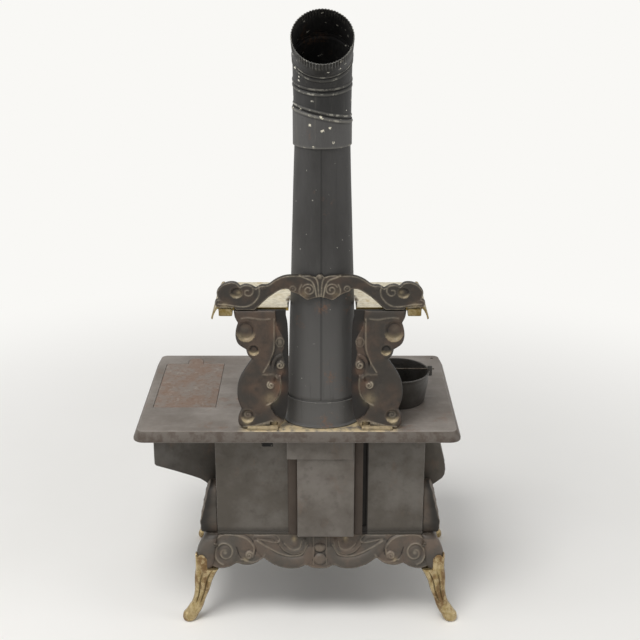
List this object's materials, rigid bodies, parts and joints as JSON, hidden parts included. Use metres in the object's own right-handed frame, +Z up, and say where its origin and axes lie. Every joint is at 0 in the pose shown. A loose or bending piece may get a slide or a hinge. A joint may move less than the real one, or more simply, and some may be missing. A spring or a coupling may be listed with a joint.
{
  "type": "toy cooking range",
  "caption": "Cast iron toy range on splayed legs with firebox, oven, water reservoir, scrolled high shelf, kettle and a stovepipe with an adjustable elbow.",
  "frame": {"origin": "On the floor, under the middle of the whole stove's bounding box.", "axes": "+X is the right-hand side seen from the doors, where the water reservoir is; +Y is the back, where the stovepipe and the crest stand; +Z is up."},
  "size_m": [0.4576, 0.3168, 0.8727],
  "materials": {
    "cast_iron": "dull worn black iron, grey-brown with dust",
    "dark_iron": "dark aged iron with tan dust in the hollows",
    "rusty_iron": "matt brown surface rust",
    "sheet_iron": "worn dark grey paint on sheet iron",
    "plated_brass": "worn brassy plating, glossy on the high parts",
    "plated_nickel": "warm aged nickel plating",
    "steel_screw": "dull steel",
    "tinned_sheet": "dull tinned sheet",
    "fireclay": "rough burnt lining castings"
  },
  "bodies": {
    "stove": {"leg_back_right": "plated_brass", "leg_screw_back_right": "steel_screw", "leg_back_left": "plated_brass", "leg_screw_back_left": "steel_screw", "leg_front_right": "plated_brass", "leg_screw_front_right": "steel_screw", "leg_front_left": "plated_brass", "leg_screw_front_left": "steel_screw", "skirt_back": "cast_iron", "skirt_front": "cast_iron", "skirt_right": "cast_iron", "skirt_left": "cast_iron", "bottom_plate": "cast_iron", "tie_rod_left": "steel_screw", "tie_rod_right": "steel_screw", "back_panel": "cast_iron", "flue_box": "cast_iron", "flue_band": "cast_iron", "firebox_side_plate": "dark_iron", "firebox_back_plate": "dark_iron", "front_panel": "cast_iron", "oven_box": "sheet_iron", "oven_rack": "steel_screw", "firebox_lining": "fireclay", "end_panel_right": "cast_iron", "end_panel_left": "cast_iron", "end_scroll_right": "dark_iron", "end_scroll_left": "dark_iron", "reservoir_casing": "cast_iron", "reservoir_tank": "tinned_sheet", "cooktop": "cast_iron", "pouch": "cast_iron", "shelf_bracket_right": "dark_iron", "shelf_bracket_left": "dark_iron", "bracket_bolt_left": "steel_screw", "bracket_bolt_right": "steel_screw", "shelf": "plated_nickel", "crest": "dark_iron", "pipe_collar": "sheet_iron", "pipe": "sheet_iron"},
    "oven_door": {"oven_door": "cast_iron", "oven_door_handle": "plated_nickel"},
    "fire_door": {"fire_door": "cast_iron", "fire_door_handle": "plated_nickel"},
    "feed_door": {"feed_door": "plated_nickel"},
    "ash_drawer": {"ash_drawer": "cast_iron", "ash_drawer_knob": "plated_nickel"},
    "draft_slide": {"draft_slide": "plated_nickel"},
    "grate": {"grate": "dark_iron"},
    "reservoir_cover": {"reservoir_cover": "rusty_iron"},
    "lid_back_left": {"lid_back_left": "cast_iron"},
    "lid_back_right": {"lid_back_right": "cast_iron"},
    "lid_front_left": {"lid_front_left": "cast_iron"},
    "lid_front_right": {"lid_front_right": "cast_iron"},
    "kettle": {"kettle": "cast_iron"},
    "kettle_bail": {"kettle_bail": "steel_screw"},
    "elbow_collar": {"elbow_collar": "sheet_iron"},
    "elbow_gore_1": {"elbow_gore_1": "sheet_iron"},
    "elbow_gore_2": {"elbow_gore_2": "sheet_iron"},
    "elbow_end": {"elbow_end": "sheet_iron"}
  },
  "joints": [
    {"name": "oven_door_hinge", "type": "hinge", "parent": "stove", "child": "oven_door", "pos_m": [0.1073, -0.12953, 0.22235], "axis": [0, 0, 1], "range_deg": [0, 105]},
    {"name": "fire_door_hinge", "type": "hinge", "parent": "stove", "child": "fire_door", "pos_m": [-0.1627, -0.12953, 0.2681], "axis": [0, 0, -1], "range_deg": [0, 105]},
    {"name": "feed_door_hinge", "type": "hinge", "parent": "stove", "child": "feed_door", "pos_m": [-0.18494, -0.02393, 0.30099], "axis": [0, 1, 0], "range_deg": [0, 45]},
    {"name": "ash_drawer_slide", "type": "slide", "parent": "stove", "child": "ash_drawer", "axis": [0, -1, 0], "range_m": [0, 0.12]},
    {"name": "draft_slide_travel", "type": "slide", "parent": "ash_drawer", "child": "draft_slide", "axis": [1, 0, 0], "range_m": [-0.006, 0.006]},
    {"name": "grate_rock", "type": "hinge", "parent": "stove", "child": "grate", "pos_m": [-0.1354, -0.01193, 0.1956], "axis": [0, 1, 0], "range_deg": [-15, 15]},
    {"name": "reservoir_cover_lift", "type": "slide", "parent": "stove", "child": "reservoir_cover", "axis": [0, 0, 1], "range_m": [0, 0.04]},
    {"name": "lid_back_left_lift", "type": "slide", "parent": "stove", "child": "lid_back_left", "axis": [0, 0, 1], "range_m": [0, 0.04]},
    {"name": "lid_back_right_lift", "type": "slide", "parent": "stove", "child": "lid_back_right", "axis": [0, 0, 1], "range_m": [0, 0.04]},
    {"name": "lid_front_left_lift", "type": "slide", "parent": "stove", "child": "lid_front_left", "axis": [0, 0, 1], "range_m": [0, 0.04]},
    {"name": "lid_front_right_lift", "type": "slide", "parent": "stove", "child": "lid_front_right", "axis": [0, 0, 1], "range_m": [0, 0.04]},
    {"name": "kettle_lift", "type": "slide", "parent": "lid_back_left", "child": "kettle", "axis": [0, 0, 1], "range_m": [0, 0.06]},
    {"name": "kettle_bail_swing", "type": "hinge", "parent": "kettle", "child": "kettle_bail", "pos_m": [-0.1377, 0.01807, 0.3611], "axis": [-1, 0, 0], "range_deg": [0, 180]},
    {"name": "elbow_collar_turn", "type": "hinge", "parent": "stove", "child": "elbow_collar", "pos_m": [-0.0307, 0.08257, 0.7007], "axis": [0, 0, 1], "continuous": true},
    {"name": "elbow_seam_1_turn", "type": "hinge", "parent": "elbow_collar", "child": "elbow_gore_1", "pos_m": [-0.0307, 0.08257, 0.7427], "axis": [-0.2079, 0, 0.9781], "continuous": true},
    {"name": "elbow_seam_2_turn", "type": "hinge", "parent": "elbow_gore_1", "child": "elbow_gore_2", "pos_m": [-0.0307, 0.08257, 0.7807], "axis": [0, 0.225, 0.9744], "continuous": true},
    {"name": "elbow_seam_3_turn", "type": "hinge", "parent": "elbow_gore_2", "child": "elbow_end", "pos_m": [-0.0307, 0.09879, 0.81395], "axis": [0, 0.6293, 0.7771], "continuous": true}
  ]
}
